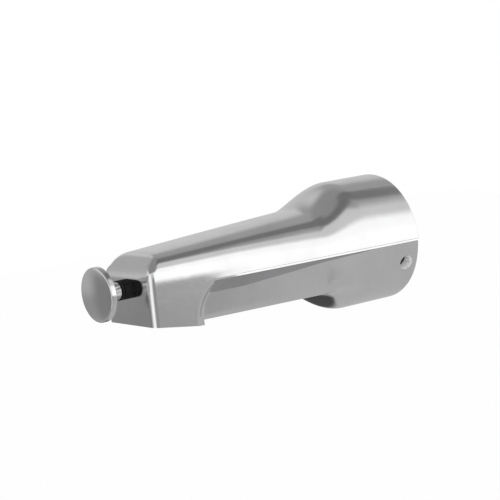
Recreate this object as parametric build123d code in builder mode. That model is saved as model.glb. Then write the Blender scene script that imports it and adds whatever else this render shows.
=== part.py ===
from build123d import *
import os
from math import copysign, cos, pi, radians, sin, tan

# Bath spout with a pull diverter, in millimetres.
# The wall is the plane Y = 0 and the spout reaches towards -Y, with +Z up.
# The origin is the centre of the round wall end, on the axis of the pipe and of the pull knob.
# A name that ends in _out is a distance from the wall.

# Outer form of the casting
ring_radius = 32.1
body_length = 155.0
nose_half_width = 18.7
nose_top = 15.0
top_slope = 3.7
neck_out = 56.5
shoulder_out = 29.0
nose_squareness = 3.6
neck_squareness = 2.3
nose_roll_radius = 13.0
nose_roll_lift = 0.05
nose_edge_radius = 2.0
wall_thickness = 3.0

# Lip, set-in side panel and belly
lip_depth = 2.5
lip_edge = 0.3
cove_depth = 7.5
cove_full_out = 105.0
belly_depth = 19.1
belly_squareness = 16.0
belly_neck_out = 52.5
belly_shoulder_out = 32.0
corner_crowding = 1.6

# Hood round the outlet
hood_rear_out = 130.2
hood_sweep_radius = 19.0
hood_nose_depth = 17.0
hood_slope = 8.1
hood_wall = 3.3
outlet_rear_out = 122.0

# Partition, valve chamber and seat
partition_out = 112.0
partition_thickness = 4.0
chamber_radius = 11.0
chamber_wall = 2.6
chamber_length = 16.0
seat_bore_radius = 6.3
seat_body_radius = 8.5
seat_flange_radius = 10.4
seat_flange_thickness = 1.2
seat_lip_height = 0.6
seat_lip_width = 1.2
diverter_travel = 9.0
seat_rest_gap = 0.2

# Valve washer and what clamps it on the stem
washer_radius = 8.4
washer_thickness = 3.2
cup_thickness = 1.0
cup_rim_height = 1.6
cup_wall = 0.7
stem_shoulder_radius = 3.6
stem_shoulder_length = 1.5
stem_nut_across = 8.0
stem_nut_height = 3.2
stem_end_length = 1.0

# Stem, guide, clip and spring
stem_radius = 2.4
running_gap = 0.05
guide_shank_radius = 4.0
guide_collar_radius = 4.65
guide_end_ring_length = 1.0
guide_groove_length = 0.6
guide_groove_depth = 0.9
guide_rib_count = 4
guide_rib_length = 0.55
guide_rib_pitch = 0.95
guide_rib_height = 0.35
guide_inner_length = 9.0
guide_nut_across = 12.0
guide_nut_height = 3.4
spot_face_radius = 7.3
spot_face_depth = 7.0
clip_radius = 4.6
clip_thickness = 0.8
clip_groove_depth = 0.6
clip_slot = 3.2
spring_washer_radius = 5.2
spring_washer_thickness = 0.8
spring_length = 21.0
spring_wire = 0.8
spring_mean_radius = 4.0
spring_turns = 7

# Pull knob
knob_radius = 12.7
knob_collar_radius = 4.15
knob_collar_length = 3.4
knob_flare_length = 5.3
knob_rim_length = 2.6
knob_rim_bevel = 0.5
knob_dome_height = 0.9
knob_rest_gap = 0.3
knob_bore_depth = 8.0

# Pipe adapter, waterway tube and seals
pipe_socket_radius = 8.0
pipe_socket_depth = 40.0
pipe_stop_width = 1.2
adapter_out = 0.0
adapter_radius = 13.0
adapter_length = 52.0
adapter_chamfer = 0.8
tube_radius = 10.0
tube_wall = 2.6
tube_seat_depth = 10.0
tube_flange_radius = 12.0
tube_flange_length = 9.5
tube_seal_width = 2.5
tube_seal_thickness = 1.4
o_ring_wire = 2.4
o_ring_groove_width = 3.2
o_ring_inner_out = 31.0
o_ring_outer_out = 22.0

# Set screw, its boss, and the collar that carries the adapter in the bell
screw_out = 7.2
screw_angle = -21.5
screw_radius = 3.2
screw_recess = 5.45
screw_tip_gap = 0.3
screw_tip_chamfer = 0.8
screw_socket_across = 3.2
screw_socket_depth = 3.5
screw_access_radius = 3.8
boss_radius = 6.2
collar_out = 3.0
collar_length = 11.2
collar_wall = 3.2
web_thickness = 3.6
web_angles = (100.0, 220.0)

# Gap between two pieces that seat in each other without moving
seat_gap = 0.05

# Sizes that follow from the values above
nose_inner_out = body_length - wall_thickness
chamber_rear_out = partition_out - chamber_length
partition_front_out = partition_out + partition_thickness
seat_face_out = partition_out - seat_flange_thickness - seat_lip_height
washer_front_out = seat_face_out - diverter_travel - seat_rest_gap
washer_rear_out = washer_front_out - washer_thickness
cup_rear_out = washer_rear_out - cup_thickness
stem_end_out = cup_rear_out - stem_nut_height - stem_end_length
guide_collar_length = guide_rib_count * guide_rib_pitch + guide_groove_length + guide_end_ring_length
guide_inner_out = body_length - guide_inner_length
spring_out = guide_inner_out - spring_length
spring_washer_out = spring_out - spring_washer_thickness - seat_gap
clip_out = spring_washer_out - clip_thickness - running_gap
knob_out = body_length + guide_collar_length + seat_gap + knob_rest_gap
stem_front_out = knob_out + knob_bore_depth - seat_gap
tube_flange_out = chamber_rear_out - tube_seal_thickness - seat_gap - tube_flange_length
tube_front_out = tube_flange_out + tube_flange_length
adapter_front_out = adapter_out + adapter_length
tube_rear_out = adapter_front_out - tube_seat_depth
pipe_stop_out = adapter_out + pipe_socket_depth
screw_tip_reach = pipe_socket_radius + screw_tip_gap
screw_head_reach = ring_radius - screw_recess
screw_length = screw_head_reach - screw_tip_reach
well_outside = 2 * ring_radius


def eased(share):
    """Goes from 0 to 1 with a level start and end."""
    share = min(max(share, 0.0), 1.0)
    return share * share * (3 - 2 * share)


def bell_share(out):
    """1 in the round bell and 0 in the arm, eased between the shoulder and the neck."""
    return eased((neck_out - out) / (neck_out - shoulder_out))


def belly_share(out):
    """The same on the underside, where the shoulder is steeper."""
    return eased((belly_neck_out - out) / (belly_neck_out - belly_shoulder_out))


def half_width(out):
    """Half the width at the lip. The sides are straight from the ring to the nose."""
    return ring_radius - (ring_radius - nose_half_width) * out / body_length


def arm_top(out):
    """Height of the straight sloping crown of the arm."""
    return nose_top + (body_length - out) * tan(radians(top_slope))


def crown_height(out):
    """Height of the crown: the arm, and the bell behind the neck."""
    return arm_top(out) + (ring_radius - arm_top(out)) * bell_share(out)


def arch_squareness(out):
    """Exponent of the arch: 2 is an ellipse, and more is squarer."""
    rise = (nose_squareness - neck_squareness) * max(out - neck_out, 0.0) / (body_length - neck_out)
    arm = neck_squareness + rise
    return arm + (2.0 - arm) * bell_share(out)


def lip_inset(out):
    """How far the side panel lies inside the lip. It fades out at the wall."""
    return lip_edge + (lip_depth - lip_edge) * out / hood_rear_out


def panel_half_width(out):
    return half_width(out) - lip_inset(out)


def belly_bottom(out):
    """Depth of the underside: flat under the arm, and round under the bell."""
    return belly_depth + (ring_radius - belly_depth) * belly_share(out)


def panel_squareness(out):
    return belly_squareness + (2.0 - belly_squareness) * belly_share(out)


def cove_drop(out):
    """Height of the slanted face under the lip, which fades out at the wall."""
    return cove_depth * min(out / cove_full_out, 1.0) ** 1.5


def half_oval(width, height, power, count, crowding=1.0):
    """Points from +X over the top to -X on an oval that is squarer as its power grows.

    A crowding above 1 sets more of the points at the two corners.
    """
    points = []
    for step in range(count + 1):
        quarter, place = divmod(2 * step / count, 1)
        side = 2 * place - 1
        turn = (quarter + (1 + copysign(abs(side) ** crowding, side)) / 2) * pi / 2
        c = cos(turn)
        s = abs(sin(turn))
        reach = (abs(c) ** power + s**power) ** (-1 / power)
        points.append((width * reach * c, height * reach * s))
    return points


def arch_form(start_out, end_out, stations, inset):
    """Upper half of the spout, lofted through arches at even distances from the wall."""
    with BuildPart() as form:
        for station in range(stations):
            out = start_out + (end_out - start_out) * station / (stations - 1)
            width = half_width(out) - inset
            height = crown_height(out) - inset
            points = half_oval(width, height, arch_squareness(out), 12)
            with BuildSketch(Plane.XZ.offset(out)):
                with BuildLine():
                    Spline(points, tangents=((0, 1), (0, -1)))
                    Line(points[-1], points[0])
                make_face()
        loft()
    return form.part


def belly_form(end_out, stations, inset):
    """Lower half: side panels, rounded corners and underside, running into the round bell."""
    with BuildPart() as form:
        for station in range(stations):
            out = end_out * station / (stations - 1)
            width = panel_half_width(out) - inset
            depth = belly_bottom(out) - inset
            oval = half_oval(width, depth, panel_squareness(out), 32, corner_crowding)
            points = [(x, -z) for x, z in oval]
            with BuildSketch(Plane.XZ.offset(out)):
                with BuildLine():
                    Spline(points, tangents=((0, -1), (0, 1)))
                    Line(points[-1], points[0])
                make_face()
        loft()
    return form.part


def cove_form(stations):
    """Slanted faces under the two lips, from the wall to the hood."""
    with BuildPart() as form:
        for station in range(stations):
            out = hood_rear_out * station / (stations - 1)
            lip = half_width(out) - lip_edge
            panel = panel_half_width(out) - running_gap
            drop = max(cove_drop(out), lip_edge)
            buried = panel - wall_thickness / 2
            with BuildSketch(Plane.XZ.offset(out)):
                with BuildLine():
                    Polyline((buried, 0), (lip, 0), (panel, -drop), (buried, -drop), close=True)
                make_face()
        loft(ruled=True)
        mirror(about=Plane.YZ)
    return form.part


def nose_form(inset):
    """Block that ends in the nose face, with the crown rolled down into it."""
    front_out = body_length - inset
    roll = nose_roll_radius - inset
    roll_out = front_out - roll
    level = cos(radians(top_slope))
    roll_height = arm_top(roll_out) + nose_roll_lift - (roll + inset) / level
    with BuildPart() as form:
        with BuildSketch(Plane.YZ):
            with BuildLine():
                Line((-front_out, -well_outside), (-front_out, roll_height))
                bend = CenterArc((-roll_out, roll_height), roll, 180, top_slope - 90)
                Polyline(
                    bend @ 1,
                    (bend @ 1) + (0, well_outside),
                    (well_outside, 2 * well_outside),
                    (well_outside, -well_outside),
                    (-front_out, -well_outside),
                )
            make_face()
        extrude(amount=well_outside, both=True)
    return form.part


def plan_form(start_out, end_out, start_width, end_width, bottom, top):
    """Upright block with a tapered plan, from one distance from the wall to another."""
    with BuildPart() as form:
        with BuildSketch(Plane.XY.offset(bottom)):
            with BuildLine():
                Polyline(
                    (start_width, -start_out),
                    (end_width, -end_out),
                    (-end_width, -end_out),
                    (-start_width, -start_out),
                    close=True,
                )
            make_face()
        extrude(amount=top - bottom)
    return form.part


def hood_form():
    """Hood round the outlet. Its rear edge sweeps up in an arc into the lip."""
    sweep_out = hood_rear_out - hood_sweep_radius
    rear_depth = hood_nose_depth + (body_length - hood_rear_out) * tan(radians(hood_slope))
    sides = plan_form(sweep_out, body_length, half_width(sweep_out), nose_half_width, -2 * rear_depth, 0)
    with BuildPart() as form:
        add(sides)
        with BuildSketch(Plane.YZ):
            with BuildLine():
                Polyline(
                    (-sweep_out, 0),
                    (-body_length, 0),
                    (-body_length, -hood_nose_depth),
                    (-hood_rear_out, -rear_depth),
                    (-hood_rear_out, -hood_sweep_radius),
                )
                CenterArc((-sweep_out, -hood_sweep_radius), hood_sweep_radius, 180, -90)
            make_face()
        extrude(amount=well_outside, both=True, mode=Mode.INTERSECT)
    return form.part


def turned(profile):
    """Solid turned about the axis of the spout, from (radius, distance from the wall) points."""
    with BuildPart() as piece:
        with BuildSketch(Plane.XY):
            with BuildLine():
                Polyline([(radius, -out) for radius, out in profile], close=True)
            make_face()
        revolve(axis=Axis.Y)
    return piece.part


def hexagon_nut(across, rear_out, height, bore_radius):
    """Nut with turned corners, its rear face at the given distance from the wall."""
    corner_radius = across / 2 / cos(pi / 6)
    with BuildPart() as nut:
        with BuildSketch(Plane.XZ.offset(rear_out)):
            RegularPolygon(across / 2, 6, major_radius=False)
        extrude(amount=height)
        with BuildSketch(Plane.XZ.offset(rear_out)):
            Circle((across / 2 + corner_radius) / 2)
        extrude(amount=height, mode=Mode.INTERSECT)
        with BuildSketch(Plane.XZ.offset(rear_out)):
            Circle(bore_radius)
        extrude(amount=height, mode=Mode.SUBTRACT)
    return nut.part


def ring_seal(out):
    """Rubber O-ring in the pipe socket, centred at the given distance from the wall."""
    with BuildPart() as ring:
        with BuildSketch(Plane.XY):
            with Locations((pipe_socket_radius + seat_gap + o_ring_wire / 2, -out)):
                Circle(o_ring_wire / 2)
        revolve(axis=Axis.Y)
    return ring.part


def radial_plane(angle, out, reach):
    """Plane square to a radius of the bell, at the given angle, distance from the wall and reach."""
    outward = (cos(radians(angle)), 0, sin(radians(angle)))
    centre = (reach * outward[0], -out, reach * outward[2])
    return Plane(origin=centre, x_dir=(0, 1, 0), z_dir=outward)


# Spout body: one casting
arch = arch_form(0, body_length, 22, 0)
belly = belly_form(hood_rear_out, 24, 0)
bell_core = arch_form(0, partition_out, 16, wall_thickness)
belly_core = belly_form(partition_out, 20, wall_thickness)
outlet_arch = arch_form(partition_front_out, body_length, 6, wall_thickness)
outlet_width = panel_half_width(partition_front_out) - wall_thickness
outlet_front_width = half_width(nose_inner_out) - hood_wall
outlet_sides = plan_form(
    partition_front_out, nose_inner_out, outlet_width, outlet_front_width, 0, well_outside
)
taper = (outlet_width - outlet_front_width) / (nose_inner_out - partition_front_out)
outlet_rear_width = outlet_width - taper * (outlet_rear_out - partition_front_out)
outlet_floor = plan_form(
    partition_front_out, nose_inner_out, outlet_width, outlet_front_width, wall_thickness - belly_depth, 0
)
outlet_mouth = plan_form(
    outlet_rear_out, nose_inner_out, outlet_rear_width, outlet_front_width, -well_outside, 0
)
nose_inner = nose_form(wall_thickness)
cove = cove_form(6)
hood = hood_form()
nose = nose_form(0)

with BuildPart() as outlet_core:
    add(outlet_arch)
    add(outlet_sides, mode=Mode.INTERSECT)
    add(nose_inner, mode=Mode.INTERSECT)
    add(outlet_floor)
    add(outlet_mouth)

with BuildPart() as spout_body:
    add(arch)
    add(nose, mode=Mode.INTERSECT)
    add(belly)
    add(cove)
    add(hood)
    corner_edges = spout_body.edges().filter_by(
        lambda edge: (edge @ 0.5).Y < nose_roll_radius - body_length
        and abs((edge @ 0).Z - (edge @ 1).Z) > nose_edge_radius
    )
    crease_edge = spout_body.edges().filter_by(GeomType.BSPLINE).sort_by_distance(
        (0, nose_roll_radius - body_length, arm_top(body_length - nose_roll_radius))
    )[0]
    fillet(corner_edges + [crease_edge], radius=nose_edge_radius)

    # Hollow bell and arm, then the outlet
    add(bell_core, mode=Mode.SUBTRACT)
    add(belly_core, mode=Mode.SUBTRACT)
    add(outlet_core.part, mode=Mode.SUBTRACT)

    # Valve chamber behind the partition
    with BuildSketch(Plane.XZ.offset(tube_flange_out)):
        Circle(tube_flange_radius + seat_gap + chamber_wall)
    extrude(amount=partition_out - tube_flange_out)
    with BuildSketch(Plane.XZ.offset(tube_flange_out)):
        Circle(tube_flange_radius + seat_gap)
    extrude(amount=chamber_rear_out - tube_flange_out, mode=Mode.SUBTRACT)
    with BuildSketch(Plane.XZ.offset(chamber_rear_out)):
        Circle(chamber_radius)
    extrude(amount=chamber_length, mode=Mode.SUBTRACT)
    with BuildSketch(Plane.XZ.offset(partition_out)):
        Circle(seat_body_radius + seat_gap)
    extrude(amount=partition_thickness, mode=Mode.SUBTRACT)

    # Hole for the stem guide, with a spot face for its nut
    with BuildSketch(Plane.XZ.offset(nose_inner_out)):
        Circle(guide_shank_radius + seat_gap)
    extrude(amount=wall_thickness, mode=Mode.SUBTRACT)
    with BuildSketch(Plane.XZ.offset(nose_inner_out)):
        Circle(spot_face_radius)
    extrude(amount=-spot_face_depth, mode=Mode.SUBTRACT)

    # Collar, webs and screw boss in the bell
    with BuildSketch(Plane.XZ.offset(collar_out)) as collar_sketch:
        Circle(adapter_radius + seat_gap + collar_wall)
        for web_angle in web_angles:
            with Locations(Rotation(0, 0, web_angle)):
                Rectangle(
                    ring_radius - wall_thickness / 2, web_thickness, align=(Align.MIN, Align.CENTER)
                )
    extrude(amount=collar_length)
    with BuildSketch(radial_plane(screw_angle, screw_out, adapter_radius + collar_wall / 2)):
        Circle(boss_radius)
    extrude(amount=ring_radius - wall_thickness / 2 - adapter_radius - collar_wall / 2)
    with BuildSketch(Plane.XZ):
        Circle(adapter_radius + seat_gap)
    extrude(amount=adapter_front_out, mode=Mode.SUBTRACT)
    with BuildSketch(radial_plane(screw_angle, screw_out, adapter_radius - collar_wall)):
        Circle(screw_radius + seat_gap)
    extrude(amount=well_outside, mode=Mode.SUBTRACT)
    with BuildSketch(radial_plane(screw_angle, screw_out, screw_head_reach)):
        Circle(screw_access_radius)
    extrude(amount=well_outside, mode=Mode.SUBTRACT)

# Stem guide: ribbed collar outside the nose, plain shank inside
guide_profile = [
    (stem_radius + running_gap, guide_inner_out),
    (guide_shank_radius, guide_inner_out),
    (guide_shank_radius, body_length + seat_gap),
]
rib_root = guide_collar_radius - guide_rib_height
for rib in range(guide_rib_count):
    rib_out = body_length + seat_gap + rib * guide_rib_pitch
    guide_profile += [
        (guide_collar_radius, rib_out),
        (guide_collar_radius, rib_out + guide_rib_length),
        (rib_root, rib_out + guide_rib_length),
        (rib_root, rib_out + guide_rib_pitch),
    ]
groove_out = body_length + seat_gap + guide_rib_count * guide_rib_pitch
guide_profile += [
    (guide_collar_radius - guide_groove_depth, groove_out),
    (guide_collar_radius - guide_groove_depth, groove_out + guide_groove_length),
    (guide_collar_radius, groove_out + guide_groove_length),
    (guide_collar_radius, groove_out + guide_groove_length + guide_end_ring_length),
    (stem_radius + running_gap, groove_out + guide_groove_length + guide_end_ring_length),
]
stem_guide = turned(guide_profile)

guide_nut = hexagon_nut(
    guide_nut_across,
    nose_inner_out - seat_gap - guide_nut_height,
    guide_nut_height,
    guide_shank_radius + seat_gap,
)

# Diverter stem, with its shoulder in front of the valve washer and its clip groove
clip_bed_radius = stem_radius - clip_groove_depth
diverter_stem = turned(
    [
        (0, stem_end_out),
        (stem_radius, stem_end_out),
        (stem_radius, washer_front_out + seat_gap),
        (stem_shoulder_radius, washer_front_out + seat_gap),
        (stem_shoulder_radius, washer_front_out + seat_gap + stem_shoulder_length),
        (stem_radius, washer_front_out + seat_gap + stem_shoulder_length),
        (stem_radius, clip_out - seat_gap),
        (clip_bed_radius, clip_out - seat_gap),
        (clip_bed_radius, clip_out + clip_thickness + seat_gap),
        (stem_radius, clip_out + clip_thickness + seat_gap),
        (stem_radius, stem_front_out),
        (0, stem_front_out),
    ]
)

# Pull knob: collar, trumpet flare, rim and slightly domed face
rim_out = knob_out + knob_collar_length + knob_flare_length
face_out = rim_out + knob_rim_length
with BuildPart() as diverter_knob:
    with BuildSketch(Plane.XY):
        with BuildLine():
            Polyline(
                (stem_radius + seat_gap, -knob_out - knob_bore_depth),
                (stem_radius + seat_gap, -knob_out),
                (knob_collar_radius, -knob_out),
                (knob_collar_radius, -knob_out - knob_collar_length),
            )
            Spline(
                (knob_collar_radius, -knob_out - knob_collar_length),
                (knob_radius, -rim_out),
                tangents=((0, -1), (1, -0.25)),
            )
            Polyline(
                (knob_radius, -rim_out),
                (knob_radius, -face_out + knob_rim_bevel),
                (knob_radius - knob_rim_bevel, -face_out),
            )
            dome = Spline(
                (knob_radius - knob_rim_bevel, -face_out),
                (0, -face_out - knob_dome_height),
                tangents=((-1, -2 * knob_dome_height / knob_radius), (-1, 0)),
            )
            Polyline(
                dome @ 1,
                (0, -knob_out - knob_bore_depth),
                (stem_radius + seat_gap, -knob_out - knob_bore_depth),
            )
        make_face()
    revolve(axis=Axis.Y)

# Valve seat ring with a raised lip
lip_outer = seat_bore_radius + seat_lip_width
valve_seat = turned(
    [
        (seat_bore_radius, seat_face_out),
        (lip_outer, seat_face_out),
        (lip_outer, partition_out - seat_flange_thickness),
        (seat_flange_radius, partition_out - seat_flange_thickness),
        (seat_flange_radius, partition_out - seat_gap),
        (seat_body_radius, partition_out - seat_gap),
        (seat_body_radius, partition_front_out),
        (seat_bore_radius, partition_front_out),
    ]
)

# Rubber washer, the cup behind it and the nut that clamps both against the stem's shoulder
bore_on_stem = stem_radius + seat_gap
valve_washer = turned(
    [
        (bore_on_stem, washer_rear_out),
        (washer_radius, washer_rear_out),
        (washer_radius, washer_front_out),
        (bore_on_stem, washer_front_out),
    ]
)
cup_inner = washer_radius + seat_gap
washer_cup = turned(
    [
        (bore_on_stem, cup_rear_out),
        (cup_inner + cup_wall, cup_rear_out),
        (cup_inner + cup_wall, washer_rear_out + cup_rim_height),
        (cup_inner, washer_rear_out + cup_rim_height),
        (cup_inner, washer_rear_out - seat_gap),
        (bore_on_stem, washer_rear_out - seat_gap),
    ]
)
stem_nut = hexagon_nut(
    stem_nut_across, cup_rear_out - seat_gap - stem_nut_height, stem_nut_height, bore_on_stem
)

# Flat washer that the spring pushes on, and the clip that holds it on the stem
spring_washer = turned(
    [
        (stem_radius + running_gap, spring_washer_out),
        (spring_washer_radius, spring_washer_out),
        (spring_washer_radius, spring_washer_out + spring_washer_thickness),
        (stem_radius + running_gap, spring_washer_out + spring_washer_thickness),
    ]
)
with BuildPart() as e_clip:
    with BuildSketch(Plane.XZ.offset(clip_out)):
        Circle(clip_radius)
        Circle(clip_bed_radius + seat_gap, mode=Mode.SUBTRACT)
        with Locations((0, -clip_radius / 2)):
            Rectangle(clip_slot, clip_radius, mode=Mode.SUBTRACT)
    extrude(amount=clip_thickness)

# Return spring between the guide and the flat washer
coil_height = spring_length - spring_wire - 2 * seat_gap
coil_start = -(guide_inner_out - spring_wire / 2 - seat_gap)
with BuildPart() as return_spring:
    with BuildLine():
        coil = Helix(
            pitch=coil_height / spring_turns,
            height=coil_height,
            radius=spring_mean_radius,
            center=(0, coil_start, 0),
            direction=(0, 1, 0),
        )
    with BuildSketch(Plane(origin=coil @ 0, z_dir=coil % 0)):
        Circle(spring_wire / 2)
    sweep()

# Pipe adapter: socket for the copper stub-out at the wall side, seat for the tube in front
groove_radius = pipe_socket_radius + 2 * seat_gap + o_ring_wire
socket_profile = [(pipe_socket_radius, adapter_out)]
for ring_out in (o_ring_outer_out, o_ring_inner_out):
    socket_profile += [
        (pipe_socket_radius, ring_out - o_ring_groove_width / 2),
        (groove_radius, ring_out - o_ring_groove_width / 2),
        (groove_radius, ring_out + o_ring_groove_width / 2),
        (pipe_socket_radius, ring_out + o_ring_groove_width / 2),
    ]
socket_profile += [
    (pipe_socket_radius, pipe_stop_out),
    (pipe_socket_radius - pipe_stop_width, pipe_stop_out),
    (pipe_socket_radius - pipe_stop_width, tube_rear_out - seat_gap),
    (tube_radius + seat_gap, tube_rear_out - seat_gap),
    (tube_radius + seat_gap, adapter_front_out),
    (adapter_radius - adapter_chamfer, adapter_front_out),
    (adapter_radius, adapter_front_out - adapter_chamfer),
    (adapter_radius, adapter_out + adapter_chamfer),
    (adapter_radius - adapter_chamfer, adapter_out),
]
adapter_blank = turned(socket_profile)
with BuildPart() as pipe_adapter:
    add(adapter_blank)
    with BuildSketch(radial_plane(screw_angle, screw_out, 0)):
        Circle(screw_radius + seat_gap)
    extrude(amount=well_outside, mode=Mode.SUBTRACT)

pipe_o_ring_inner = ring_seal(o_ring_inner_out)
pipe_o_ring_outer = ring_seal(o_ring_outer_out)

# Waterway tube with a threaded flange at the valve chamber, and its flat seal
tube_bore_radius = tube_radius - tube_wall
waterway_tube = turned(
    [
        (tube_bore_radius, tube_rear_out),
        (tube_radius, tube_rear_out),
        (tube_radius, tube_flange_out),
        (tube_flange_radius, tube_flange_out),
        (tube_flange_radius, tube_front_out),
        (tube_bore_radius, tube_front_out),
    ]
)
tube_seal = turned(
    [
        (tube_flange_radius - tube_seal_width, tube_front_out + seat_gap),
        (tube_flange_radius, tube_front_out + seat_gap),
        (tube_flange_radius, chamber_rear_out - seat_gap),
        (tube_flange_radius - tube_seal_width, chamber_rear_out - seat_gap),
    ]
)

# Set screw, backed off so that its tip clears the pipe
with BuildPart() as set_screw:
    with BuildSketch(radial_plane(screw_angle, screw_out, screw_tip_reach)):
        Circle(screw_radius)
    extrude(amount=screw_length)
    chamfer(
        set_screw.edges().filter_by(GeomType.CIRCLE).sort_by_distance((0, -screw_out, 0))[0],
        length=screw_tip_chamfer,
    )
    with BuildSketch(radial_plane(screw_angle, screw_out, screw_head_reach - screw_socket_depth)):
        RegularPolygon(screw_socket_across / 2, 6, major_radius=False)
    extrude(amount=screw_socket_depth, mode=Mode.SUBTRACT)

pieces = {
    "spout_body": spout_body.part,
    "stem_guide": stem_guide,
    "guide_nut": guide_nut,
    "diverter_stem": diverter_stem,
    "diverter_knob": diverter_knob.part,
    "valve_seat": valve_seat,
    "valve_washer": valve_washer,
    "washer_cup": washer_cup,
    "stem_nut": stem_nut,
    "return_spring": return_spring.part,
    "spring_washer": spring_washer,
    "e_clip": e_clip.part,
    "pipe_adapter": pipe_adapter.part,
    "pipe_o_ring_inner": pipe_o_ring_inner,
    "pipe_o_ring_outer": pipe_o_ring_outer,
    "waterway_tube": waterway_tube,
    "tube_seal": tube_seal,
    "set_screw": set_screw.part,
}
os.makedirs("parts", exist_ok=True)
for name, piece in pieces.items():
    piece.label = name
    export_step(piece, f"parts/{name}.step")
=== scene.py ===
import math
import bmesh
import bpy
import numpy as np
from mathutils import Matrix, Vector, kdtree


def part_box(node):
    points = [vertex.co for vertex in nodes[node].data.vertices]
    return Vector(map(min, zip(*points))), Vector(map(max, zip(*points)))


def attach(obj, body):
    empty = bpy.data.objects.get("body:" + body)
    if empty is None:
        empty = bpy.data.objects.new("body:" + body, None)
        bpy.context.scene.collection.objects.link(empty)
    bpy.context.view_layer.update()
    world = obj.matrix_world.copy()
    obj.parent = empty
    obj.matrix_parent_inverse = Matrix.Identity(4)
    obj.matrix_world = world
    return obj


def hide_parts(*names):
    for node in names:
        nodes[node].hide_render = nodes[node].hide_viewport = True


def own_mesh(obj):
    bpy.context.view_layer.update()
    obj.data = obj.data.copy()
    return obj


# Bath spout with a pull diverter. Forms are worked out in millimetres and set in metres.
# A name that ends in _out is a distance from the wall, which is the plane Y = 0.
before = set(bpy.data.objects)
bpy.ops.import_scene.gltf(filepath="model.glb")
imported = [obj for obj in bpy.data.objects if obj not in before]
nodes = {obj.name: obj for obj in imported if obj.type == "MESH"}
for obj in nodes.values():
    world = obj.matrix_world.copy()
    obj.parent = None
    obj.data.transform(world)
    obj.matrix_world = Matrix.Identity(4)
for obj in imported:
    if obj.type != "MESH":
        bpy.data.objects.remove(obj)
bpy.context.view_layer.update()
MM = 0.001

# Sizes of the casting
ring_radius = 32.1
body_length = 155.0
nose_half_width = 18.7
nose_top = 15.0
top_slope = math.radians(3.7)
neck_out = 56.5
shoulder_out = 29.0
nose_squareness = 3.6
neck_squareness = 2.3
nose_roll_radius = 13.0
nose_roll_lift = 0.05
nose_roll_out = body_length - nose_roll_radius
nose_edge_radius = 3.0
nose_crease = 12.0
roof_clearing = 0.02
wall_end_radius = 0.5
wall_thickness = 3.0
arch_draft = 0.055
draft_end_out = 108.0
draft_fade = 20.0

# Sizes of the lip, of the cove under it and of the underside
lip_depth = 2.5
lip_edge = 0.3
lip_round = 0.15
lip_edge_height = 0.85
lip_groove = 0.16
lip_end_out = 104.0
lip_fade = 7.0
cove_depth = 6.6
cove_power = 1.25
cove_full_out = 105.0
panel_draft = 0.040
belly_depth = 19.1
belly_squareness = 16.0
belly_neck_out = 57.0
belly_shoulder_out = 31.0
belly_flare = 0.7
belly_melt_reach = 1.1
belly_melt_power = 0.45
belly_least_blend = 0.05
belly_blend = 1.0
belly_side_blend = 6.0
corner_crowding = 1.6

# Sizes of the hood. Its rear edge steps down to the panel along a smooth curve that four points steer,
# each a depth below the hood's side and a shift of the edge.
hood_rear_out = 130.2
hood_sweep_radius = 19.0
hood_nose_depth = 17.0
hood_slope = math.radians(8.1)
hood_bottom_round = 0.5
hood_wall = 3.3
hood_step_depths = (0.0, 0.0, 2.7, 3.0)
hood_step_shifts = (2.3, 0.6, -0.8, -3.4)
hood_step_end = (3.7, -3.5)

# Sizes inside the casting
running_gap = 0.05
lap = 0.3
core_crease = 0.1
outlet_crease = 0.8
partition_out = 112.0
partition_front_out = 116.0
outlet_rear_out = 122.0
outlet_front_turn = 1.5
nose_inner_out = body_length - wall_thickness
chamber_radius = 11.0
chamber_wall = 2.6
chamber_rear_out = 96.0
tube_seat_radius = 12.0 + running_gap
tube_seat_out = 85.0
seat_hole_radius = 8.5 + running_gap
adapter_bore_radius = 13.0 + running_gap
adapter_end_out = 53.0
collar_wall = 3.2
collar_start_out = 3.0
collar_end_out = 14.2
web_angles = (100.0, 220.0)
web_half_thickness = 1.8
web_start_reach = 14.0
web_end_reach = ring_radius - 1.5
spot_face_radius = 7.3
spot_face_out = 145.0

# Sizes of the set screw's place. Each station of its boss, its bore and the open mouth in the bell is
# a reach from the spout's axis and a radius.
screw_out = 7.2
screw_angle = math.radians(-21.5)
boss_stations = [(14.5, 6.2), (29.4, 6.2)]
screw_bore_stations = [(9.5, 3.25), (26.8, 3.25)]
screw_mouth_stations = [(26.65, 3.3), (31.0, 3.7), (31.5, 3.85), (32.85, 4.5)]

# Sizes of the knob, the guide and the spring
stem_bore_radius = 2.4 + running_gap
knob_radius = 12.7
knob_collar_radius = 4.15
knob_collar_length = 3.4
knob_rim_length = 2.6
knob_dome_height = 0.9
knob_bore_depth = 8.0
guide_shank_radius = 4.0
guide_collar_radius = 4.65
guide_rib_count = 4
guide_rib_length = 0.55
guide_rib_pitch = 0.95
guide_rib_foot_radius = 4.3
guide_groove_radius = 3.75
guide_groove_length = 0.6
guide_end_ring_length = 1.0
spring_wire_radius = 0.4
spring_coil_radius = 4.0
spring_turns = 7


def eased(share):
    """Soft step from 0 to 1."""
    share = np.clip(share, 0.0, 1.0)
    return share * share * (3 - 2 * share)


def bell_share(out):
    return eased((neck_out - out) / (neck_out - shoulder_out))


def belly_share(out):
    share = (belly_neck_out - out) / (belly_neck_out - belly_shoulder_out)
    return eased(np.maximum(share, 0.0) ** belly_flare)


def lip_share(out):
    """Goes from 1 to 0 where the lip's rounding and groove run out before the hood."""
    return 1 - eased((out - lip_end_out) / lip_fade)


def half_width(out):
    return ring_radius - (ring_radius - nose_half_width) * out / body_length


def arm_top(out):
    return nose_top + (body_length - out) * math.tan(top_slope)


def crown_height(out):
    return arm_top(out) + (ring_radius - arm_top(out)) * bell_share(out)


def arch_squareness(out):
    """Power of the arch's rounded square: 2 is a round."""
    rise = (nose_squareness - neck_squareness) * np.maximum(out - neck_out, 0.0) / (body_length - neck_out)
    arm = neck_squareness + rise
    return arm + (2.0 - arm) * bell_share(out)


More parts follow.
